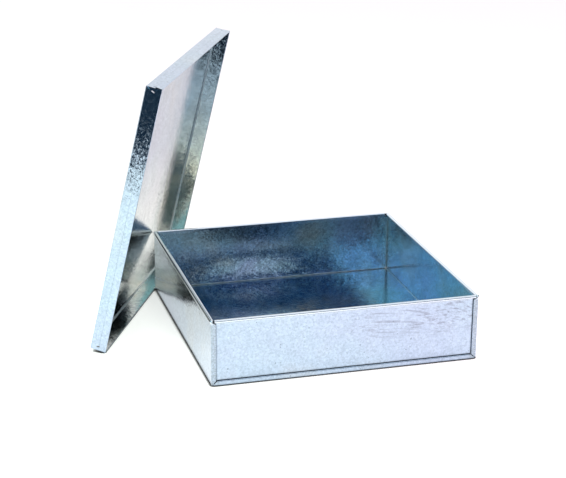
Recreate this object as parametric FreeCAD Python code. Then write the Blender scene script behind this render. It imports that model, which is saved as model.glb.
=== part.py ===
"""Sheet-steel electrical junction box with a loose slip-over lid.

The box is a tray of three sheets. One long sheet makes the left side, the bottom and the right
side. Two end panels close the front and the back and are locked into it with folded seams. The
sides are rolled inward at the top, and between them the ends are rolled outward. The lid is one
more folded sheet with a hem round its free edge. It stands on the hem of its lower flange and
leans on the back left corner of the box.

Millimetres. Origin at the centre of the underside, +X to the right, +Y to the back, +Z up.
"""

import math
import os

import FreeCAD
import Part

Vector = FreeCAD.Vector

# Box, outside sizes. The width is over the side sheets, the depth over the folded seams.
BOX_WIDTH = 300.0
BOX_DEPTH = 300.0
BOX_HEIGHT = 75.0
SHEET = 0.6

# Rolled rims: thickness of the rolls, how far a side's roll stands out from its wall, the turn at
# which a roll ends (degrees under its far flank), and the part of the wall that counts as rim.
SIDE_ROLL = 4.5
SIDE_BULGE = 1.0
END_ROLL = 3.6
ROLL_END = 100.0
RIM_DROP = 5.0

# Lock seam between the long sheet and an end panel: four layers with a little air between them.
SEAM_WIDTH = 5.6
LAYER_AIR = 0.1
PANEL_SETBACK = 3 * (SHEET + LAYER_AIR)
HOOK_RADIUS = 1.5 * SHEET + LAYER_AIR
MITRE_GAP = 0.5
BEND_RADIUS = 2.2
CORNER_RELIEF_RADIUS = 0.8

# Lid.
LID_SIZE = 310.0
LID_DEPTH = 18.4
LID_HEM = 8.0
LID_BEND_RADIUS = 1.2
HEM_AIR = 0.15
HEM_END_CUT = 2.2
CORNER_SLIT = 0.2
RELIEF_LENGTH = 4.0
RELIEF_WIDTH = 1.5
RELIEF_TILT = 20.0

# How the lid leans on the box.
LID_LEAN = 13.1
LID_TURN = 63.0
LID_REACH = 205.0
CONTACT_GAP = 0.2


def line(start, end):
    """A straight edge between two points."""
    return Part.LineSegment(start, end).toShape()


def arc(centre, radius, start_angle, end_angle, place):
    """An arc edge in a plane, angles in degrees, with place(a, b) giving the point in space."""
    points = []
    for angle in (start_angle, (start_angle + end_angle) / 2, end_angle):
        turn = math.radians(angle)
        points.append(place(centre[0] + radius * math.cos(turn), centre[1] + radius * math.sin(turn)))
    return Part.Arc(*points).toShape()


def outline(points, place):
    """A closed face from flat corner points."""
    corners = [place(a, b) for a, b in points]
    return Part.Face(Part.makePolygon(corners + [corners[0]]))


def joined(shapes):
    """One solid from touching shapes."""
    whole = shapes[0].multiFuse(shapes[1:])
    return whole.removeSplitter()


def block(low, high):
    """A box between two corners."""
    size = Vector(*high) - Vector(*low)
    return Part.makeBox(size.x, size.y, size.z, Vector(*low))


def rolled_rim(place, travel, roll, bulge):
    """The rolled top of a wall, from the foot of the rim up.

    In place(deep, up), deep runs from the smooth face of the wall towards the side it rolls to.
    The roll stands out from the smooth face by its bulge.
    """
    radius = roll / 2
    inner_radius = radius - SHEET
    foot = BOX_HEIGHT - RIM_DROP
    centre = (radius - bulge, BOX_HEIGHT - radius)
    outer_start = 180 + math.degrees(math.acos((radius - bulge) / radius))
    inner_start = 180 + math.degrees(math.acos((inner_radius - bulge) / inner_radius))

    def on_roll(distance, angle):
        turn = math.radians(angle)
        return place(centre[0] + distance * math.cos(turn), centre[1] + distance * math.sin(turn))

    edges = [
        line(place(0, foot), on_roll(radius, outer_start)),
        arc(centre, radius, outer_start, -ROLL_END, place),
        line(on_roll(radius, -ROLL_END), on_roll(inner_radius, -ROLL_END)),
        arc(centre, inner_radius, -ROLL_END, inner_start, place),
        line(on_roll(inner_radius, inner_start), place(SHEET, foot)),
        line(place(SHEET, foot), place(0, foot)),
    ]
    return Part.Face(Part.Wire(edges)).extrude(travel)


def hook_of_long_sheet(place, travel):
    """The folded edge of the long sheet: a strip over the panel and its return leaf.

    In place(inward, deep), inward runs from the outer face of the sheet towards the middle of the
    panel and deep runs from the outer face of the strip into the box.
    """
    turn_at = SEAM_WIDTH - HOOK_RADIUS
    inner_radius = HOOK_RADIUS - SHEET
    leaf_top = 2 * HOOK_RADIUS - SHEET
    leaf_end = SHEET + LAYER_AIR + HOOK_RADIUS - 0.15
    bend = (HOOK_RADIUS, HOOK_RADIUS)
    edges = [
        arc(bend, HOOK_RADIUS, 180, 270, place),
        line(place(HOOK_RADIUS, 0), place(turn_at, 0)),
        arc((turn_at, HOOK_RADIUS), HOOK_RADIUS, -90, 90, place),
        line(place(turn_at, 2 * HOOK_RADIUS), place(leaf_end, 2 * HOOK_RADIUS)),
        line(place(leaf_end, 2 * HOOK_RADIUS), place(leaf_end, leaf_top)),
        line(place(leaf_end, leaf_top), place(turn_at, leaf_top)),
        arc((turn_at, HOOK_RADIUS), inner_radius, 90, -90, place),
        line(place(turn_at, SHEET), place(HOOK_RADIUS, SHEET)),
        arc(bend, inner_radius, 270, 180, place),
        line(place(SHEET, HOOK_RADIUS), place(0, HOOK_RADIUS)),
    ]
    return Part.Face(Part.Wire(edges)).extrude(travel)


def hook_of_panel(place, travel):
    """The folded edge of an end panel: it turns out round the leaf of the long sheet."""
    start = SHEET + LAYER_AIR + HOOK_RADIUS
    middle = PANEL_SETBACK + SHEET - HOOK_RADIUS
    inner_radius = HOOK_RADIUS - SHEET
    leaf_low = SHEET + LAYER_AIR
    leaf_end = SEAM_WIDTH - HOOK_RADIUS + 0.15
    edges = [
        arc((start, middle), HOOK_RADIUS, 90, 270, place),
        line(place(start, leaf_low), place(leaf_end, leaf_low)),
        line(place(leaf_end, leaf_low), place(leaf_end, leaf_low + SHEET)),
        line(place(leaf_end, leaf_low + SHEET), place(start, leaf_low + SHEET)),
        arc((start, middle), inner_radius, 270, 90, place),
        line(place(start, PANEL_SETBACK), place(start, PANEL_SETBACK + SHEET)),
    ]
    return Part.Face(Part.Wire(edges)).extrude(travel)


def seam_run(hook, end_sign):
    """A hook swept up one side, along the bottom and up the other side of an end, with mitres."""
    half = BOX_WIDTH / 2
    end = end_sign * BOX_DEPTH / 2
    top = BOX_HEIGHT - SIDE_ROLL - CONTACT_GAP
    reach = 2 * SEAM_WIDTH
    runs = []
    for side in (-1, 1):
        upright = hook(
            lambda inward, deep: Vector(side * (half - inward), end - end_sign * deep, 0), Vector(0, 0, top)
        )
        corner = [(0, 0), (reach, reach), (reach, top + 1), (-1, top + 1), (-1, -1)]
        keep = outline(corner, lambda a, b: Vector(side * (half - a), end - end_sign * 4, b))
        runs.append(upright.common(keep.extrude(Vector(0, end_sign * 8, 0))))
    base = hook(
        lambda inward, deep: Vector(-half, end - end_sign * deep, inward), Vector(BOX_WIDTH, 0, 0)
    )
    trapezium = [(-half - 1, -1), (half + 1, -1), (half - reach, reach), (reach - half, reach)]
    keep = outline(trapezium, lambda a, b: Vector(a, end - end_sign * 4, b))
    runs.append(base.common(keep.extrude(Vector(0, end_sign * 8, 0))))
    gap = mitre_gaps(end_sign)
    return [run.cut(gap) for run in runs]


def mitre_gaps(end_sign):
    """Thin slots at 45 degrees between the upright and the bottom run of a seam."""
    half = BOX_WIDTH / 2
    start = 1.2 * BEND_RADIUS
    reach = 2 * SEAM_WIDTH
    width = MITRE_GAP / math.sqrt(2)
    slots = []
    for side in (-1, 1):
        corners = [(start - width, start + width), (start + width, start - width)]
        corners += [(reach + width, reach - width), (reach - width, reach + width)]
        face = outline(corners, lambda a, b: Vector(side * (half - a), end_sign * BOX_DEPTH / 2, b))
        depth = PANEL_SETBACK - LAYER_AIR / 2 + 1
        slots.append(face.extrude(Vector(0, -end_sign * depth, 0)).fuse(
            face.extrude(Vector(0, end_sign, 0))))
    return slots[0].fuse(slots[1])


def corner_reliefs():
    """Small holes where three folds meet, at both ends of both bottom corners."""
    inset = SHEET + LAYER_AIR + HOOK_RADIUS
    holes = []
    for side in (-1, 1):
        foot = Vector(side * (BOX_WIDTH / 2 - inset), -BOX_DEPTH / 2 - 1, inset)
        holes.append(Part.makeCylinder(CORNER_RELIEF_RADIUS, BOX_DEPTH + 2, foot, Vector(0, 1, 0)))
    return holes[0].fuse(holes[1])


def side_and_bottom_sheet():
    """The bent middle of the long sheet, without its rims and hooks."""
    half = BOX_WIDTH / 2
    half_depth = BOX_DEPTH / 2 - HOOK_RADIUS
    top = BOX_HEIGHT - RIM_DROP
    outer = block((-half, -half_depth, 0), (half, half_depth, top))
    inner = block((SHEET - half, -half_depth, SHEET), (half - SHEET, half_depth, top))
    return rounded_trough(outer, BEND_RADIUS, 0).cut(rounded_trough(inner, BEND_RADIUS - SHEET, SHEET))


def rounded_trough(solid, radius, level):
    """Rounds the two long lower edges of a block."""
    long_edges = []
    for edge in solid.Edges:
        low = edge.BoundBox
        along_depth = low.YLength > 1 and low.XLength < 1e-6 and low.ZLength < 1e-6
        if along_depth and abs(low.ZMin - level) < 1e-6:
            long_edges.append(edge)
    return solid.makeFillet(radius, long_edges)


def side_rim(side):
    """One side wall's rim, rolled inward, as long as the box is deep."""
    half = BOX_WIDTH / 2
    start = -BOX_DEPTH / 2
    place = lambda deep, up: Vector(side * (half - deep), start, up)
    return rolled_rim(place, Vector(0, BOX_DEPTH, 0), SIDE_ROLL, SIDE_BULGE)


def box_wrapper():
    """The long sheet: left side, bottom and right side, with its rims and seam hooks."""
    pieces = [side_and_bottom_sheet(), side_rim(-1), side_rim(1)]
    for end_sign in (-1, 1):
        pieces += seam_run(hook_of_long_sheet, end_sign)
    return joined(pieces).cut(corner_reliefs()).cut(outside_of_bottom_bends(0))


def outside_of_bottom_bends(inset):
    """The stock outside the two long rounded corners, at a distance inside the outer face."""
    half = BOX_WIDTH / 2 - inset
    radius = BEND_RADIUS - inset
    stock = []
    for side in (-1, 1):
        place = lambda a, b: Vector(side * (half - a), -BOX_DEPTH / 2 - 2, inset + b)
        edges = [
            line(place(-1, -1), place(radius, -1)),
            line(place(radius, -1), place(radius, 0)),
            arc((radius, radius), radius, 270, 180, place),
            line(place(0, radius), place(-1, radius)),
            line(place(-1, radius), place(-1, -1)),
        ]
        stock.append(Part.Face(Part.Wire(edges)).extrude(Vector(0, BOX_DEPTH + 4, 0)))
    return stock[0].fuse(stock[1])


def end_panel(end_sign):
    """One end panel: a flat sheet with three hooked edges and a rolled top."""
    half = BOX_WIDTH / 2
    inset = SHEET + LAYER_AIR + HOOK_RADIUS
    inner = end_sign * (BOX_DEPTH / 2 - PANEL_SETBACK - SHEET)
    outer = inner + end_sign * SHEET
    low_y, high_y = sorted((inner, outer))
    top = BOX_HEIGHT - RIM_DROP
    plate = block((inset - half, low_y, inset), (half - inset, high_y, top))
    pieces = [plate] + seam_run(hook_of_panel, end_sign)
    clear = SIDE_ROLL - SIDE_BULGE + 2 * LAYER_AIR
    place = lambda deep, up: Vector(clear - half, inner + end_sign * deep, up)
    pieces.append(rolled_rim(place, Vector(BOX_WIDTH - 2 * clear, 0, 0), END_ROLL, 0))
    return joined(pieces).cut(corner_reliefs()).cut(outside_of_bottom_bends(SHEET + LAYER_AIR))


def lid_tray():
    """The lid's flat panel and its four flanges, up to where the hem starts to fold."""
    top = LID_DEPTH - hem_radius()
    outer = Part.makeBox(LID_SIZE, LID_SIZE, top)
    inner_size = LID_SIZE - 2 * SHEET
    inner = Part.makeBox(inner_size, inner_size, top, Vector(SHEET, SHEET, SHEET))
    return rounded_foot(outer, LID_BEND_RADIUS, 0).cut(
        rounded_foot(inner, LID_BEND_RADIUS - SHEET, SHEET))


def rounded_foot(solid, radius, level):
    """Rounds the four lowest edges of a block."""
    low_edges = [edge for edge in solid.Edges if abs(edge.BoundBox.ZMax - level) < 1e-6]
    return solid.makeFillet(radius, low_edges)


def hem_radius():
    """Outside radius of the closed hem's fold."""
    return SHEET + HEM_AIR / 2


def lid_hem():
    """The hem on the first flange: the sheet folds outward and comes back down the flange."""
    radius = hem_radius()
    fold = LID_DEPTH - radius
    leaf_end = LID_DEPTH - LID_HEM
    place = lambda out, up: Vector(0, -out, up)
    centre = (HEM_AIR / 2, fold)
    edges = [
        arc(centre, radius, 180, 0, place),
        line(place(SHEET + HEM_AIR, fold), place(SHEET + HEM_AIR, leaf_end)),
        line(place(SHEET + HEM_AIR, leaf_end), place(HEM_AIR, leaf_end)),
        line(place(HEM_AIR, leaf_end), place(HEM_AIR, fold)),
        arc(centre, HEM_AIR / 2, 0, 180, place),
        line(place(0, fold), place(-SHEET, fold)),
    ]
    hem = Part.Face(Part.Wire(edges)).extrude(Vector(LID_SIZE, 0, 0))
    cut = HEM_END_CUT
    shape = [(0, LID_DEPTH + 1), (LID_SIZE, LID_DEPTH + 1), (LID_SIZE, fold), (LID_SIZE - cut, leaf_end - 1)]
    shape += [(cut, leaf_end - 1), (0, fold)]
    keep = outline(shape, lambda a, b: Vector(a, -2, b)).extrude(Vector(0, 4, 0))
    return hem.common(keep)


def relief_slot():
    """The slanted slot through a flange where its hem stops short of the corner."""
    half = RELIEF_LENGTH / 2 - RELIEF_WIDTH / 2
    body = block((-RELIEF_WIDTH / 2, -2, -half), (RELIEF_WIDTH / 2, 2, half))
    ends = [Part.makeCylinder(RELIEF_WIDTH / 2, 4, Vector(0, -2, side * half), Vector(0, 1, 0))
            for side in (-1, 1)]
    slot = body.multiFuse(ends)
    slot.rotate(Vector(0, 0, 0), Vector(0, 1, 0), RELIEF_TILT)
    return slot


def lid_in_its_own_frame():
    """The lid flat on its panel: panel at Z 0, flanges up, one corner at the origin."""
    middle = Vector(LID_SIZE / 2, LID_SIZE / 2, 0)
    level = LID_DEPTH - LID_HEM - RELIEF_LENGTH / 2 + 0.6
    hem = lid_hem()
    near = relief_slot()
    near.translate(Vector(4.5, 0, level))
    far = relief_slot()
    far.rotate(Vector(0, 0, 0), Vector(0, 0, 1), 180)
    far.translate(Vector(LID_SIZE - 4.5, 0, level))
    slit = block((-3, -CORNER_SLIT / 2, 2 * LID_BEND_RADIUS), (3, CORNER_SLIT / 2, LID_DEPTH + 1))
    slit.rotate(Vector(0, 0, 0), Vector(0, 0, 1), 45)
    hems = []
    cuts = []
    for quarter in range(4):
        for piece, group in ((hem, hems), (near, cuts), (far, cuts), (slit, cuts)):
            turned = piece.copy()
            turned.rotate(middle, Vector(0, 0, 1), 90 * quarter)
            group.append(turned)
    return joined([lid_tray()] + hems).cut(cuts[0].multiFuse(cuts[1:]))


def lid():
    """The lid leaning on the box: its low hem on the floor, its panel at the box's back left rim.

    edge runs along the lower flange, across runs from the lid's panel towards the box.
    """
    turn = math.radians(LID_TURN)
    lean = math.radians(LID_LEAN)
    edge = Vector(math.cos(turn), math.sin(turn), 0)
    level = Vector(math.sin(turn), -math.cos(turn), 0)
    up = Vector(0, 0, 1)
    rise = level * math.sin(lean) + up * math.cos(lean)
    across = level * math.cos(lean) - up * math.sin(lean)

    roll = SIDE_ROLL / 2
    rim_end = Vector(roll - SIDE_BULGE - BOX_WIDTH / 2, BOX_DEPTH / 2, BOX_HEIGHT - roll)
    foot_corner = Vector(-BOX_WIDTH / 2, BOX_DEPTH / 2, 0)
    radius = hem_radius()
    height = radius + math.cos(lean) * HEM_AIR / 2 + math.sin(lean) * (LID_DEPTH - radius)
    clear = rim_end.dot(across) - roll * math.hypot(across.x, across.z) - SHEET - CONTACT_GAP
    out = (clear + height * math.sin(lean)) / math.cos(lean)
    start = edge * (foot_corner.dot(edge) - LID_REACH) + level * out + up * height

    matrix = FreeCAD.Matrix(
        edge.x, rise.x, across.x, start.x,
        edge.y, rise.y, across.y, start.y,
        edge.z, rise.z, across.z, start.z,
        0, 0, 0, 1,
    )
    solid = lid_in_its_own_frame()
    solid.Placement = FreeCAD.Placement(matrix)
    return solid


def main():
    """Builds and writes every sheet."""
    os.makedirs("parts", exist_ok=True)
    sheets = {
        "box_wrapper": box_wrapper(),
        "front_panel": end_panel(-1),
        "back_panel": end_panel(1),
        "lid": lid(),
    }
    for name, shape in sheets.items():
        shape.exportStep("parts/" + name + ".step")


main()
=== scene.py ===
"""Looks of the galvanised sheet-steel junction box and its loose lid.

Each shown sheet is the CAD sheet cut into a fine grid and given the small waves and dents of
hand-folded steel. One procedural finish, bright galvanised zinc, covers them all. The studio is a
pale floor under a white sky and a soft lamp, with the dim side of the room behind the camera.
Metres, in the frame of the CAD.
"""

import math
import bmesh
import bpy
from mathutils import Matrix, Vector, noise


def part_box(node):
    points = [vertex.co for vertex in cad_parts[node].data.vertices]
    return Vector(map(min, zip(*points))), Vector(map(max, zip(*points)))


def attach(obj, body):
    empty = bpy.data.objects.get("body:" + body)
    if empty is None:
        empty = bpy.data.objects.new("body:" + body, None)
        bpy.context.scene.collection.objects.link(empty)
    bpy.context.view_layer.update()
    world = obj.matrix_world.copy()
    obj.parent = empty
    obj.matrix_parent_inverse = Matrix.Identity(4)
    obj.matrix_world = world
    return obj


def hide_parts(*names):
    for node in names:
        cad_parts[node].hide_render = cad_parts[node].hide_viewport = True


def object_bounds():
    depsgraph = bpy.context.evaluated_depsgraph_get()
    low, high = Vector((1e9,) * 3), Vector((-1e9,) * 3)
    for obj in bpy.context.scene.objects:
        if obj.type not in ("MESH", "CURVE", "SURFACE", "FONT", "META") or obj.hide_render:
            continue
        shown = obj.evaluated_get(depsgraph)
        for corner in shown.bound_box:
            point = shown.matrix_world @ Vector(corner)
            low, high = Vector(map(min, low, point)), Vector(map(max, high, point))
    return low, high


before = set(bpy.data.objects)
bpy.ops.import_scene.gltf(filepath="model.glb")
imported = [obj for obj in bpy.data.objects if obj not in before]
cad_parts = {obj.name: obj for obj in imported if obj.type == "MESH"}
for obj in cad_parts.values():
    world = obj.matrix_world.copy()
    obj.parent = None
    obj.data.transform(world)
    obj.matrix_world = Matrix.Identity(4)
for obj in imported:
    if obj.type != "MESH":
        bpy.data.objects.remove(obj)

CAD_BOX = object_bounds()
MM = 0.001
WHITE = (1, 1, 1, 1)

# How the lid leans: its tilt from upright and the heading of its lower flange.
LID_LEAN = math.radians(13.1)
LID_TURN = math.radians(63)

# Sheet thickness, how far the side rims and the lid's hems stand proud, and how far the ends are set in.
SHEET = 0.6 * MM
RIM_PROUD = 1 * MM
HEM_STEP = 0.75 * MM
END_SETBACK = 2.1 * MM

# Depth of a wall's layers, of the bottom's and of the lid panel's, and of a lid flange beyond that.
SHELL = 6 * MM
BOTTOM_SHELL = 3 * MM
LID_SHELL = 3 * MM
FLANGE_DEPTH = 16 * MM

# Width of the seam strips and of the rolled rims.
SEAM_STRIP = 5.6 * MM
ROLL = 4.5 * MM

# The ends of the side rims are pressed to this share of their width, over this length.
PINCH = 0.3
PINCH_LENGTH = 1.2 * MM

# Grid of the fine sheets. Its cuts are moved by a small share of a cell, to miss the sheets' own edges.
GRID = 6 * MM
CUT_SHIFT = 0.02
CUT_SNAP = 1e-7

# Points nearer than this are one point, flatter edges than this vanish, and sharper ones stay sharp.
WELD = 1e-6
FLAT_ANGLE = math.radians(0.05)
SHARP_ANGLE = math.radians(32)

# Depth of the waves: end panels, sides, bottom, lid panel, lid flanges, seam edges, rims.
END_BULGE = 0.5 * MM
SIDE_BULGE = 0.4 * MM
FLOOR_BULGE = 0.4 * MM
LID_BULGE = 1.0 * MM
FLANGE_DENT = 0.35 * MM
SEAM_WAVE = 0.3 * MM
RIM_WAVE = 0.12 * MM

# Length of the waves, and a seed for each kind.
WALL_WAVE_LENGTH = 90 * MM
SEAM_WAVE_LENGTH = 14 * MM
END_SEED = 3
SIDE_SEED = 11
BOTTOM_SEED = 17
LID_SEED = 21
LID_SIDE_SEED = 23
LID_END_SEED = 29
LEVEL_SEAM_SEED = 31
UPRIGHT_SEAM_SEED = 41

# The knock low on the inside of the back panel.
KNOCK_PLACE = (-33 * MM, 43 * MM)
KNOCK_SIZE = (95 * MM, 40 * MM)
KNOCK_DEPTH = 2.2 * MM

# The scuffed patch high on the right of the front.
SCUFF_PLACE = (80 * MM, -150 * MM, 58 * MM)
SCUFF_SIZE = (110 * MM, 40 * MM, 34 * MM)

# Colours of the zinc, of what lies on it, and of the painted highlight and the painted shade.
ZINC_BLUE = (0.41, 0.49, 0.62, 1)
ZINC_TEAL = (0.40, 0.53, 0.61, 1)
ZINC_WARM = (0.52, 0.54, 0.53, 1)
CLOUD_GREY = (0.36, 0.41, 0.49, 1)
SCRATCH_GREY = (0.2, 0.21, 0.26, 1)
SPECK_GREY = (0.12, 0.15, 0.18, 1)
# Painted highlight: the pale given to the rolled rims.
RIM_PAINTED_HIGHLIGHT = (0.78, 0.84, 0.9, 1)
STRIP_DARK_GREY = (0.26, 0.3, 0.34, 1)
# Painted shade: the dark put into the outer folds and seams.
FOLD_PAINTED_SHADE = (0.03, 0.04, 0.05, 1)
SOLDER_PALE = (0.75, 0.82, 0.85, 1)
RUN_PALE = (0.55, 0.68, 0.70, 1)

# Cells to a metre and tilt of each size of zinc crystal. The first is the spangle that shows.
SPANGLE = 420
CRYSTALS = ((SPANGLE, 0.030), (1100, 0.035), (2600, 0.03))

# Features to a metre of each pattern. Rolling lines, scratches and runs are longer one way.
TINT = 8
SMEAR = 14
CLOUD = 55
SPECK = 190
MOTTLE = 480
DUST = 600
ROLLED = (12, 500, 500)
SCRATCHED = (6, 440, 440)
RUN = (90, 90, 40)

# Constants of the metal and of the clear passivated film on it, and the depth of its relief.
GLOSS = {"Metallic": 1, "Coat Weight": 0.3, "Coat Roughness": 0.06, "Coat IOR": 1.5}
RELIEF = 0.4 * MM
RELIEF_STRENGTH = 0.07

# Wear and painted shade of the box and of the lid: how far the zinc inside has aged, how dark the
# painted shade in the outer folds and seams is, how much the pale zinc in the inner corners covers, and how
# much it blurs.
BOX_WEAR_AND_SHADE = {"aged": 1, "painted_shade": 0.92, "solder": 0.6, "blur": 0.5}
LID_WEAR_AND_SHADE = {"aged": 0.3, "painted_shade": 0.45, "solder": 1, "blur": 0.9}

# How near two faces of a fold have to be for painted shade outside, and for pale zinc inside.
FOLD_REACH = 2.2 * MM

# Painted light and shade inside the lid: over this range of heights the zinc fades from warm and pale low
# down to dull and dark high up.
LID_PAINTED_LIGHT_HEIGHTS = (0.12, 0.2)
LID_LOW_PAINTED_LIGHT = (1.3, 1.12, 0.88, 1)
LID_HIGH_PAINTED_SHADE = (0.65, 0.65, 0.65, 1)

# Camera fitted to the outline of the box and the lid.
CAMERA_PLACE = (-0.4974, -1.6395, 0.6944)
CAMERA_HEADING = math.radians(15.91)
CAMERA_DIP = math.radians(19.08)
CAMERA_ROLL = math.radians(0.53)
CAMERA_LENS = 100.6
CAMERA_SENSOR = 36
CAMERA_SIGHT = 50

# The floor: its glow and paint, its tint at the left and the right, and its shade at the back.
FLOOR_REACH = 8
FLOOR_GLOW = 0.66
FLOOR_PAINT = (0.55, 0.55, 0.55, 1)
FLOOR_LEFT = (1, 1.06, 1, 1)
FLOOR_RIGHT = (1, 0.94, 0.965, 1)
FLOOR_FADE = (-0.3, 0.15)
FLOOR_BACK = (0.1, 0.35)
FLOOR_BACK_SHADE = 0.7
CONTACT_REACH = 5 * MM

# The sky and the lamp.
SKY_LIGHT = 1.15
LAMP_POWER = 60
LAMP_SIZE = 2.4
LAMP_PLACE = (-0.5, -0.3, 2.3)

# The room that only mirrors see: its panels and the dark beyond the edge of the table.
ROOM_RADIUS = 2.5
ROOM_TOP = 2.0
DARK_TOP = 1.35
PANEL_TURN = math.radians(10)
TABLE_EDGE = -0.57
ROOM_GREY = (0.09, 0.11, 0.13)
ROOM_NAVY = (0.03, 0.1, 0.22)
ROOM_TEAL = (0.25, 0.5, 0.65)
ROOM_BLUE = (0.75, 1.4, 1.7)
BEYOND = (0.02, 0.045, 0.07)


def lid_axes():
    """Unit vectors of the lid: along its lower flange, up its panel, and out of its panel."""
    along = Vector((math.cos(LID_TURN), math.sin(LID_TURN), 0))
    level = Vector((math.sin(LID_TURN), -math.cos(LID_TURN), 0))
    up = Vector((0, 0, 1))
    rise = level * math.sin(LID_LEAN) + up * math.cos(LID_LEAN)
    out = level * math.cos(LID_LEAN) - up * math.sin(LID_LEAN)
    return along, rise, out


def cut(mesh, axis, level):
    """Cuts the mesh's faces along a plane."""
    parts = mesh.verts[:] + mesh.edges[:] + mesh.faces[:]
    bmesh.ops.bisect_plane(mesh, geom=parts, dist=CUT_SNAP, plane_co=axis * level, plane_no=axis)


def fine_mesh(node, axes):
    """A CAD node's mesh with its flat faces made whole again and cut into an even grid."""
    mesh = bmesh.new()
    mesh.from_mesh(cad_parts[node].data)
    bmesh.ops.remove_doubles(mesh, verts=mesh.verts, dist=WELD)
    bmesh.ops.dissolve_limit(mesh, angle_limit=FLAT_ANGLE, verts=mesh.verts, edges=mesh.edges)
    for axis in axes:
        places = [vertex.co.dot(axis) for vertex in mesh.verts]
        low, high = min(places), max(places)
        steps = max(1, round((high - low) / GRID))
        for step in range(1, steps):
            cut(mesh, axis, low + (high - low) * (step + CUT_SHIFT) / steps)
    return mesh


def wave(first, second, length, seed):
    """Smooth noise from -1 to 1 over a sheet, the same on every run."""
    return noise.noise(Vector((first / length, second / length, seed)))


def swell(value, low, high):
    """0 at both ends of a range and 1 in its middle."""
    share = min(1, max(0, (value - low) / (high - low)))
    return math.sin(math.pi * share)


def hump(value, centre, reach):
    """1 at the centre, fading smoothly to 0 at its reach."""
    share = min(1, abs(value - centre) / reach)
    return (1 - share * share) ** 2


def knock(x, z):
    """Depth of the knock in the back panel."""
    return KNOCK_DEPTH * hump(x, KNOCK_PLACE[0], KNOCK_SIZE[0]) * hump(z, KNOCK_PLACE[1], KNOCK_SIZE[1])


def wall_bulge(run, height, middle, bulge, seed):
    """How far a wall point lies inside the flat wall."""
    waves = 0.6 + wave(run, height, WALL_WAVE_LENGTH, seed)
    return middle * bulge * waves + middle * RIM_WAVE * (1 + wave(run, 0, WALL_WAVE_LENGTH / 2, seed + 1))


def seam_shift(across, seam, run, seed):
    """How far a point beside a seam strip's free edge is pushed along the wall."""
    return hump(across, seam, SEAM_STRIP / 2) * SEAM_WAVE * wave(run, 0, SEAM_WAVE_LENGTH, seed)


def box_shift(place, size):
    """How far a point of the box's sheets is pushed from its flat place."""
    half_x, half_y, height = size
    shift = Vector((0, 0, 0))
    up = swell(place.z, 0, height)
    at_end = abs(place.y) > half_y - SHELL
    at_side = abs(place.x) > half_x - SHELL
    if at_end:
        side = math.copysign(1, place.y)
        middle = swell(place.x, -half_x, half_x)
        depth = wall_bulge(place.x, place.z, middle * up, END_BULGE, END_SEED + side)
        if side > 0:
            depth += knock(place.x, place.z)
        shift.y -= side * depth
        shift.z += seam_shift(place.z, SEAM_STRIP, place.x, LEVEL_SEAM_SEED + side)
    if at_side:
        side = math.copysign(1, place.x)
        middle = swell(place.y, -half_y, half_y)
        shift.x -= side * wall_bulge(place.y, place.z, middle * up, SIDE_BULGE, SIDE_SEED + side)
    if at_end and place.z < height - 1.5 * ROLL:
        side = math.copysign(1, place.x)
        shift.x += seam_shift(abs(place.x), half_x - SEAM_STRIP, place.z, UPRIGHT_SEAM_SEED + side)
    if place.z < BOTTOM_SHELL:
        middle = swell(place.x, -half_x, half_x) * swell(place.y, -half_y, half_y)
        waves = 0.7 + 0.6 * wave(place.x, place.y, WALL_WAVE_LENGTH, BOTTOM_SEED)
        shift.z += middle * FLOOR_BULGE * waves
    return shift


def pinch_rims(mesh, size):
    """Presses the ends of the two side rims shut."""
    half_x, half_y, height = size
    for side in (-1, 1):
        cut(mesh, Vector((0, 1, 0)), side * (half_y - PINCH_LENGTH))
    for vertex in mesh.verts:
        centre = Vector((math.copysign(half_x - ROLL / 2, vertex.co.x), vertex.co.y, height - ROLL / 2))
        arm = vertex.co - centre
        if abs(vertex.co.y) > half_y - SHEET / 4 and arm.length < ROLL * 0.6:
            vertex.co = centre + arm * PINCH


def flange_dent(place, size, run, out, seed):
    """How far a point of one of a pair of lid flanges is pushed inward, along the axis of its place."""
    edge = LID_SHELL
    if edge <= place <= size - edge:
        return 0
    side = 1 if place < edge else -1
    depth = max(0, out - LID_SHELL) / FLANGE_DEPTH
    waves = 0.7 + wave(run, 2 * out, 2 * SEAM_WAVE_LENGTH, seed + side)
    return side * depth * swell(run, 0, size) * FLANGE_DENT * waves


def lid_shift(local, size):
    """How far a point of the lid is pushed, in the lid's own axes."""
    along, rise, out = local
    shift = Vector((0, 0, 0))
    if out < LID_SHELL:
        middle = swell(along, 0, size) * swell(rise, 0, size)
        shift.z -= middle * LID_BULGE * (0.6 + 0.6 * wave(along, rise, WALL_WAVE_LENGTH, LID_SEED))
    shift.x += flange_dent(along, size, rise, out, LID_SIDE_SEED)
    shift.y += flange_dent(rise, size, along, out, LID_END_SEED)
    return shift


def box_sheet(node):
    """The fine mesh of one of the box's sheets."""
    axes = (Vector((1, 0, 0)), Vector((0, 1, 0)), Vector((0, 0, 1)))
    mesh = fine_mesh(node, axes)
    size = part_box("box_wrapper")[1]
    if node == "box_wrapper":
        pinch_rims(mesh, size)
    inner = (size[0] - RIM_PROUD - SHEET / 2, size[1] - END_SETBACK - SHEET / 2, size[2] - ROLL)
    for side in (-1, 1):
        cut(mesh, axes[1], side * (inner[1] - SHEET / 20))
    inside = mesh.verts.layers.float.new("inside")
    strip = mesh.verts.layers.float.new("strip")
    rim = mesh.verts.layers.float.new("rim")
    for vertex in mesh.verts:
        place = vertex.co
        # Marks the rims for their painted highlight.
        vertex[rim] = float(place.z > inner[2])
        within = abs(place.x) < inner[0] and abs(place.y) < inner[1] and SHEET / 2 < place.z < inner[2]
        vertex[inside] = float(within)
        upright = abs(place.x) > size[0] - 1.3 * SEAM_STRIP and place.z < size[2] - ROLL
        vertex[strip] = float(abs(place.y) > size[1] - SHEET and upright)
        vertex.co += box_shift(place, size)
    return mesh


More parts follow.
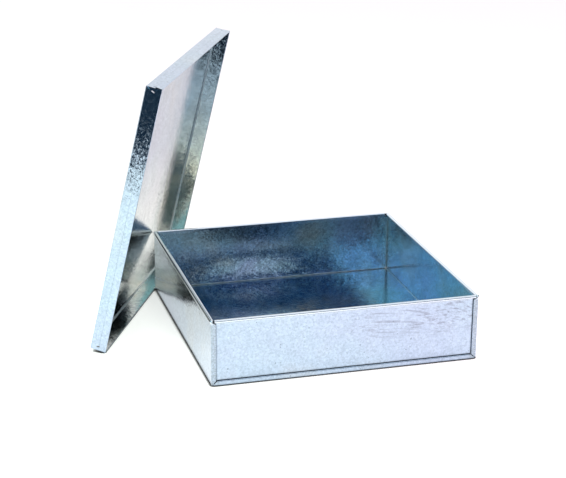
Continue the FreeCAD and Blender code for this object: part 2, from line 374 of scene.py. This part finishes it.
def lid_sheet():
    """The fine mesh of the lid."""
    axes = lid_axes()
    mesh = fine_mesh("lid", axes)
    lows = [min(vertex.co.dot(axis) for vertex in mesh.verts) for axis in axes]
    size = max(vertex.co.dot(axes[0]) for vertex in mesh.verts) - lows[0]
    inside = mesh.verts.layers.float.new("inside")
    near = HEM_STEP + SHEET / 2
    for vertex in mesh.verts:
        local = [vertex.co.dot(axis) - low for axis, low in zip(axes, lows)]
        within = all(near < value < size - near for value in local[:2])
        vertex[inside] = float(within and local[2] > SHEET / 2)
        shift = lid_shift(local, size)
        vertex.co += axes[0] * shift.x + axes[1] * shift.y + axes[2] * shift.z
    return mesh


def inside_frame(mesh):
    """Keeps every point inside the box of the CAD."""
    low, high = CAD_BOX
    for vertex in mesh.verts:
        vertex.co = Vector(min(max(value, least), most) for value, least, most in zip(vertex.co, low, high))


def piece(name, mesh, node, body, material):
    """A shown piece from a mesh, in place of a CAD node."""
    inside_frame(mesh)
    data = bpy.data.meshes.new(name)
    mesh.to_mesh(data)
    mesh.free()
    data.shade_smooth()
    data.set_sharp_from_angle(angle=SHARP_ANGLE)
    shown = bpy.data.objects.new(name, data)
    bpy.context.scene.collection.objects.link(shown)
    data.materials.append(material)
    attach(shown, body)
    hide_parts(node)


class Nodes:
    """A short way to write node trees."""

    def __init__(self, tree):
        self.tree = tree

    def add(self, kind, **settings):
        """A new shader node with its settings."""
        node = self.tree.nodes.new("ShaderNode" + kind)
        for key, value in settings.items():
            setattr(node, key, value)
        return node

    def put(self, socket, value):
        """Links an output to a socket, or sets the socket's constant."""
        if hasattr(value, "is_output"):
            self.tree.links.new(value, socket)
        else:
            socket.default_value = value

    def math(self, operation, first, second=0.0):
        """A number from two numbers."""
        node = self.add("Math", operation=operation)
        self.put(node.inputs[0], first)
        self.put(node.inputs[1], second)
        return node.outputs[0]

    def vector(self, operation, first, second=(0, 0, 0)):
        """A vector from two vectors."""
        node = self.add("VectorMath", operation=operation)
        self.put(node.inputs[0], first)
        self.put(node.inputs[1], second)
        return node.outputs["Vector"]

    def length(self, vector):
        """How long a vector is."""
        node = self.add("VectorMath", operation="LENGTH")
        self.put(node.inputs[0], vector)
        return node.outputs["Value"]

    def axes(self, place):
        """A place's X, Y and Z."""
        node = self.add("SeparateXYZ")
        self.put(node.inputs["Vector"], place)
        return node.outputs

    def channels(self, colour):
        """A colour's Red, Green and Blue."""
        node = self.add("SeparateColor")
        self.put(node.inputs["Color"], colour)
        return node.outputs

    def attribute(self, name):
        """A share that the mesh holds at each vertex, or 0 where it has none of that name."""
        return self.add("Attribute", attribute_name=name).outputs["Fac"]

    def openness(self, reach):
        """How open a point is within a reach, from 0 to 1."""
        node = self.add("AmbientOcclusion", samples=8)
        node.inputs["Distance"].default_value = reach
        return node.outputs["AO"]

    def stretched(self, place, turn, scale):
        """A place turned and then scaled along each axis."""
        turned = self.add("Mapping", vector_type="POINT")
        self.put(turned.inputs["Vector"], place)
        turned.inputs["Rotation"].default_value = turn
        return self.vector("MULTIPLY", turned.outputs["Vector"], scale)

    def noise(self, place, scale, detail=3.0, roughness=0.5):
        """Soft noise around 0.5."""
        node = self.add("TexNoise")
        self.put(node.inputs["Vector"], place)
        node.inputs["Scale"].default_value = scale
        node.inputs["Detail"].default_value = detail
        node.inputs["Roughness"].default_value = roughness
        return node.outputs["Fac"]

    def noise_colour(self, place, scale):
        """Soft noise, a different one along each axis."""
        node = self.add("TexNoise")
        self.put(node.inputs["Vector"], place)
        node.inputs["Scale"].default_value = scale
        return node.outputs["Color"]

    def cells(self, place, scale):
        """Random cells: their distance field and their colours."""
        node = self.add("TexVoronoi", voronoi_dimensions="3D", feature="F1")
        self.put(node.inputs["Vector"], place)
        node.inputs["Scale"].default_value = scale
        return node.outputs["Distance"], node.outputs["Color"]

    def span(self, value, low, high, to_low, to_high):
        """A value carried from one range to another, clamped."""
        node = self.add("MapRange")
        self.put(node.inputs["Value"], value)
        for name, number in zip(("From Min", "From Max", "To Min", "To Max"), (low, high, to_low, to_high)):
            node.inputs[name].default_value = number
        return node.outputs["Result"]

    def blend(self, share, first, second, kind="MIX"):
        """Two colours mixed by a share."""
        node = self.add("Mix", data_type="RGBA", blend_type=kind)
        self.put(node.inputs["Factor"], share)
        self.put(node.inputs["A"], first)
        self.put(node.inputs["B"], second)
        return node.outputs["Result"]

    def cover(self, share, strength, under, over):
        """A colour covered by another where the share, times its strength, says so."""
        return self.blend(self.math("MULTIPLY", share, strength), under, over)

    def plus(self, base, share, strength):
        """A number with a share, times its strength, added."""
        return self.math("ADD", base, self.math("MULTIPLY", share, strength))


def spangle_normal(nodes, place):
    """The surface normal, tilted a little differently in every crystal and grain of the zinc."""
    normal = nodes.add("NewGeometry").outputs["Normal"]
    for scale, tilt in CRYSTALS:
        crystals = nodes.cells(place, scale)[1]
        lean = nodes.vector("SUBTRACT", crystals, (0.5, 0.5, 0.5))
        normal = nodes.vector("ADD", normal, nodes.vector("MULTIPLY", lean, (tilt, tilt, tilt)))
    return nodes.vector("NORMALIZE", normal)


def rolling_lines(nodes, place, grain_turn):
    """Fine lines of the rolling mill, around 0.5."""
    return nodes.noise(nodes.stretched(place, grain_turn, ROLLED), 1, detail=4, roughness=0.7)


def scratches(nodes, place):
    """Long bent scratches in worn patches, from 0 to 1."""
    bend = nodes.vector("MULTIPLY", nodes.noise_colour(place, 5), (0.05, 0.05, 0.05))
    slope = (0, math.radians(-8), math.radians(8))
    bent = nodes.stretched(nodes.vector("ADD", place, bend), slope, SCRATCHED)
    lines = nodes.span(nodes.noise(bent, 1, detail=3, roughness=0.7), 0.5, 0.66, 0, 1)
    away = nodes.length(nodes.vector("DIVIDE", nodes.vector("SUBTRACT", place, SCUFF_PLACE), SCUFF_SIZE))
    patch = nodes.span(away, 0.2, 1, 0.6, 0)
    worn = nodes.span(nodes.math("ADD", nodes.noise(place, 7, detail=2), patch), 0.56, 0.95, 0, 1)
    return nodes.math("MULTIPLY", lines, worn)


def specks(nodes, place):
    """Small dark pits and dross spots, sparse, from 0 to 1."""
    distance, colour = nodes.cells(place, SPECK)
    size = nodes.span(nodes.channels(colour)["Red"], 0.6, 1, 0, 0.17)
    ragged = nodes.math("ADD", distance, nodes.span(nodes.noise(place, 1500), 0.3, 0.7, -0.06, 0.06))
    return nodes.math("LESS_THAN", ragged, size)


def corner_runs(nodes, place):
    """Pale runs of zinc beside the inside corners of the box, from 0 to 1."""
    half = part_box("box_wrapper")[1]
    inner = {"X": half[0] - RIM_PROUD - SHEET, "Y": half[1] - END_SETBACK - SHEET}
    axes = nodes.axes(place)
    gaps = []
    for name, wall in inner.items():
        gaps.append(nodes.math("SUBTRACT", wall, nodes.math("ABSOLUTE", axes[name])))
    streaks = nodes.noise(nodes.stretched(place, (0, 0, 0), RUN), 1, detail=6, roughness=0.7)
    reach = nodes.span(streaks, 0.36, 0.68, 1 * MM, 48 * MM)
    share = nodes.math("DIVIDE", nodes.math("MAXIMUM", *gaps), reach)
    return nodes.span(share, 0.05, 1, 1, 0)


def strip_darkening(nodes, place):
    """Patchy darkening of the upright seam strips, from 0 to 1."""
    return nodes.span(nodes.noise(place, DUST, detail=3), 0.4, 0.6, 0.15, 0.9)


class Zinc:
    """The patterns that the finish of one sheet is mixed from."""

    def __init__(self, nodes, wear_and_shade):
        self.wear_and_shade = wear_and_shade
        self.place = nodes.add("TexCoord").outputs["Object"]
        self.inside = nodes.attribute("inside")
        self.scratch = scratches(nodes, self.place)
        self.cloud = nodes.noise(self.place, CLOUD, detail=6, roughness=0.65)
        self.crystal = nodes.channels(nodes.cells(self.place, SPANGLE)[1])
        fold = nodes.span(nodes.openness(FOLD_REACH), 0.5, 0.98, 1, 0)
        # Painted shade: outside, the folds are darkened by how closed in they are.
        self.painted_fold_shade = nodes.math("MULTIPLY", fold, nodes.span(self.inside, 0, 1, wear_and_shade["painted_shade"], 0))
        self.solder = nodes.math("MULTIPLY", fold, self.inside)


def lid_painted_light(nodes, zinc):
    """A factor of painted light and shade inside the lid: it warms and lightens the zinc low down and
    darkens it high up.
    """
    high = nodes.span(nodes.axes(zinc.place)["Z"], *LID_PAINTED_LIGHT_HEIGHTS, 0, 1)
    return nodes.blend(zinc.inside, WHITE, nodes.blend(high, LID_LOW_PAINTED_LIGHT, LID_HIGH_PAINTED_SHADE))


def zinc_tint(nodes, zinc):
    """The zinc's colour: blue with teal and warm regions, stronger inside, and grey clouds."""
    tint = nodes.noise(nodes.vector("ADD", zinc.place, (0, 0.5, 0.2)), TINT, detail=3, roughness=0.55)
    tinted = nodes.span(zinc.inside, 0, 1, 0.3, 0.3 + 0.7 * zinc.wear_and_shade["aged"])
    colour = nodes.cover(tinted, nodes.span(tint, 0.4, 0.5, 0, 1), ZINC_BLUE, ZINC_TEAL)
    colour = nodes.cover(tinted, nodes.span(tint, 0.53, 0.62, 0, 1), colour, ZINC_WARM)
    return nodes.blend(nodes.span(zinc.cloud, 0.5, 0.72, 0, 0.4), colour, CLOUD_GREY)


def zinc_tone(nodes, zinc):
    """How light the zinc is, around 1: grain by grain and patch by patch, stronger inside."""
    mottle = nodes.noise(zinc.place, MOTTLE, detail=3, roughness=0.7)
    spots = nodes.span(mottle, 0.3, 0.7, -0.13, 0.1)
    grain = nodes.math("ADD", nodes.span(zinc.crystal["Green"], 0, 1, -0.1, 0.06), spots)
    fine = nodes.plus(1, grain, nodes.span(zinc.inside, 0, 1, 1, 1 + 1.2 * zinc.wear_and_shade["aged"]))
    patches = nodes.span(zinc.cloud, 0.35, 0.65, -0.14, 0.18)
    return nodes.math("MULTIPLY", fine, nodes.plus(1, patches, nodes.span(zinc.inside, 0, 1, 0.3, 1)))


def zinc_colour(nodes, zinc, boxed):
    """The zinc's colour with all that lies on it, the painted highlight on the rims and the painted shade
    in the folds, from the metal up.
    """
    colour = nodes.blend(1, zinc_tint(nodes, zinc), zinc_tone(nodes, zinc), "MULTIPLY")
    if not boxed:
        # Painted light low inside the lid and painted shade high up.
        colour = nodes.blend(1, colour, lid_painted_light(nodes, zinc), "MULTIPLY")
    colour = nodes.cover(zinc.scratch, 0.75, colour, SCRATCH_GREY)
    colour = nodes.cover(specks(nodes, zinc.place), 0.6, colour, SPECK_GREY)
    # Painted highlight on the rolled rims.
    colour = nodes.cover(nodes.attribute("rim"), 0.75, colour, RIM_PAINTED_HIGHLIGHT)
    # Darker patches on the upright seam strips.
    colour = nodes.cover(nodes.attribute("strip"), strip_darkening(nodes, zinc.place), colour, STRIP_DARK_GREY)
    # Painted shade in the outer folds and seams.
    colour = nodes.blend(zinc.painted_fold_shade, colour, FOLD_PAINTED_SHADE)
    return nodes.cover(zinc.solder, zinc.wear_and_shade["solder"], colour, SOLDER_PALE)


def zinc_roughness(nodes, zinc):
    """How blurred the zinc is: by crystal, by smear, and more in scratches and inner corners."""
    smear = nodes.noise(zinc.place, SMEAR, detail=5, roughness=0.6)
    rough = nodes.span(zinc.crystal["Red"], 0, 1, 0.05, 0.14)
    rough = nodes.math("ADD", rough, nodes.span(smear, 0.4, 0.7, -0.01, 0.05))
    rough = nodes.plus(rough, zinc.scratch, 0.1)
    return nodes.plus(rough, zinc.solder, zinc.wear_and_shade["blur"])


def zinc_normal(nodes, zinc, grain_turn):
    """The surface normal with the relief of the rolling lines and scratches."""
    bump = nodes.add("Bump")
    bump.inputs["Strength"].default_value = RELIEF_STRENGTH
    bump.inputs["Distance"].default_value = RELIEF
    rolled = rolling_lines(nodes, zinc.place, grain_turn)
    grooves = nodes.math("MULTIPLY", zinc.scratch, 0.4)
    nodes.put(bump.inputs["Height"], nodes.math("SUBTRACT", rolled, grooves))
    nodes.put(bump.inputs["Normal"], spangle_normal(nodes, zinc.place))
    return bump.outputs["Normal"]


def galvanised(name, grain_turn, wear_and_shade, boxed):
    """Bright hot-dip zinc: spangle, rolling lines, scratches, smears, and painted shade in the outer folds.

    The box's zinc has runs beside its inner corners, and the lid's has painted light low down and painted
    shade high up.
    """
    material = bpy.data.materials.new(name)
    material.use_nodes = True
    nodes = Nodes(material.node_tree)
    shader = material.node_tree.nodes["Principled BSDF"]
    zinc = Zinc(nodes, wear_and_shade)
    colour = zinc_colour(nodes, zinc, boxed)
    rough = zinc_roughness(nodes, zinc)
    if boxed:
        run = nodes.math("MULTIPLY", corner_runs(nodes, zinc.place), zinc.inside)
        colour = nodes.cover(run, 0.6, colour, RUN_PALE)
        rough = nodes.plus(rough, run, 0.22)
    nodes.put(shader.inputs["Base Color"], colour)
    nodes.put(shader.inputs["Roughness"], rough)
    nodes.put(shader.inputs["Normal"], zinc_normal(nodes, zinc, grain_turn))
    for socket, value in GLOSS.items():
        shader.inputs[socket].default_value = value
    return material


def camera():
    """The camera at the photograph's viewing angle."""
    data = bpy.data.cameras.new("camera")
    data.sensor_width = CAMERA_SENSOR
    data.lens = CAMERA_LENS
    data.clip_end = CAMERA_SIGHT
    seat = bpy.data.objects.new("camera", data)
    turn = Matrix.Rotation(-CAMERA_HEADING, 4, "Z")
    dip = Matrix.Rotation(math.pi / 2 - CAMERA_DIP, 4, "X")
    roll = Matrix.Rotation(CAMERA_ROLL, 4, "Z")
    seat.matrix_world = Matrix.Translation(CAMERA_PLACE) @ turn @ dip @ roll
    bpy.context.scene.collection.objects.link(seat)
    bpy.context.scene.camera = seat


def staged(name, corners, material):
    """A flat stage piece between corner points."""
    data = bpy.data.meshes.new(name)
    data.from_pydata(corners, [], [range(len(corners))])
    data.materials.append(material)
    shown = bpy.data.objects.new(name, data)
    bpy.context.scene.collection.objects.link(shown)
    return shown


def floor():
    """The pale floor: softly lit from within, so shadows stay faint, with a line of contact shade."""
    material = bpy.data.materials.new("floor")
    material.use_nodes = True
    nodes = Nodes(material.node_tree)
    shader = material.node_tree.nodes["Principled BSDF"]
    axes = nodes.axes(nodes.add("TexCoord").outputs["Object"])
    right = nodes.span(axes["X"], *FLOOR_FADE, 0, 1)
    shade = nodes.span(nodes.openness(CONTACT_REACH), 0.5, 0.85, 0.02, 1)
    shade = nodes.math("MULTIPLY", shade, nodes.span(axes["Y"], *FLOOR_BACK, 1, FLOOR_BACK_SHADE))
    pale = nodes.blend(1, nodes.blend(right, FLOOR_LEFT, FLOOR_RIGHT), shade, "MULTIPLY")
    nodes.put(shader.inputs["Emission Color"], pale)
    nodes.put(shader.inputs["Base Color"], nodes.blend(1, pale, FLOOR_PAINT, "MULTIPLY"))
    shader.inputs["Emission Strength"].default_value = FLOOR_GLOW
    shader.inputs["Roughness"].default_value = 0.7
    shader.inputs["Specular IOR Level"].default_value = 0.2
    corners = [(x * FLOOR_REACH, y * FLOOR_REACH, 0) for x, y in ((-1, -1), (1, -1), (1, 1), (-1, 1))]
    staged("floor", corners, material)


def dim_card(name, corners, colour):
    """A glowing card that only mirrors see."""
    material = bpy.data.materials.new(name)
    material.use_nodes = True
    material.node_tree.nodes.clear()
    nodes = Nodes(material.node_tree)
    glow = nodes.add("Emission")
    glow.inputs["Color"].default_value = (*colour, 1)
    output = nodes.add("OutputMaterial")
    nodes.put(output.inputs["Surface"], glow.outputs["Emission"])
    card = staged(name, corners, material)
    card.visible_camera = False
    card.visible_diffuse = False
    card.visible_shadow = False


def room():
    """The dim room behind the camera, panel by panel from the left to the right."""
    left = [ROOM_GREY] * 3 + [ROOM_TEAL] + [ROOM_BLUE] * 3
    panels = left + [ROOM_TEAL] + [ROOM_NAVY] * 4 + [ROOM_GREY] * 4
    start = -PANEL_TURN * len(panels) / 2
    for index, colour in enumerate(panels):
        top = DARK_TOP if colour == ROOM_NAVY else ROOM_TOP
        corners = []
        for edge, height in ((0, 0), (1, 0), (1, top), (0, top)):
            turn = start + PANEL_TURN * (index + edge)
            corners.append((ROOM_RADIUS * math.sin(turn), -ROOM_RADIUS * math.cos(turn), height))
        dim_card("room_" + str(index), corners, colour)
    reach = ROOM_RADIUS + 0.1
    corners = [(-reach, TABLE_EDGE), (reach, TABLE_EDGE), (reach, -reach), (-reach, -reach)]
    dim_card("beyond_the_table", [(x, y, MM) for x, y in corners], BEYOND)


def lights():
    """A white sky, and one soft lamp above that doesn't show in the zinc."""
    world = bpy.data.worlds.new("studio")
    bpy.context.scene.world = world
    world.use_nodes = True
    sky = world.node_tree.nodes["Background"]
    sky.inputs["Color"].default_value = WHITE
    sky.inputs["Strength"].default_value = SKY_LIGHT
    lamp = bpy.data.lights.new("softbox", "AREA")
    lamp.size = LAMP_SIZE
    lamp.energy = LAMP_POWER
    seat = bpy.data.objects.new("softbox", lamp)
    seat.location = LAMP_PLACE
    seat.rotation_euler = Vector(LAMP_PLACE).to_track_quat("Z", "Y").to_euler()
    seat.visible_glossy = False
    bpy.context.scene.collection.objects.link(seat)
    bpy.context.scene.view_settings.view_transform = "Standard"


def main():
    """Builds the sheets and the studio."""
    box_zinc = galvanised("box_zinc", (0, 0, 0), BOX_WEAR_AND_SHADE, boxed=True)
    lid_zinc = galvanised("lid_zinc", (0, math.radians(90), 0), LID_WEAR_AND_SHADE, boxed=False)
    for node in ("box_wrapper", "front_panel", "back_panel"):
        piece(node + "_sheet", box_sheet(node), node, "box", box_zinc)
    piece("lid_sheet", lid_sheet(), "lid", "lid", lid_zinc)
    floor()
    room()
    lights()
    camera()


main()
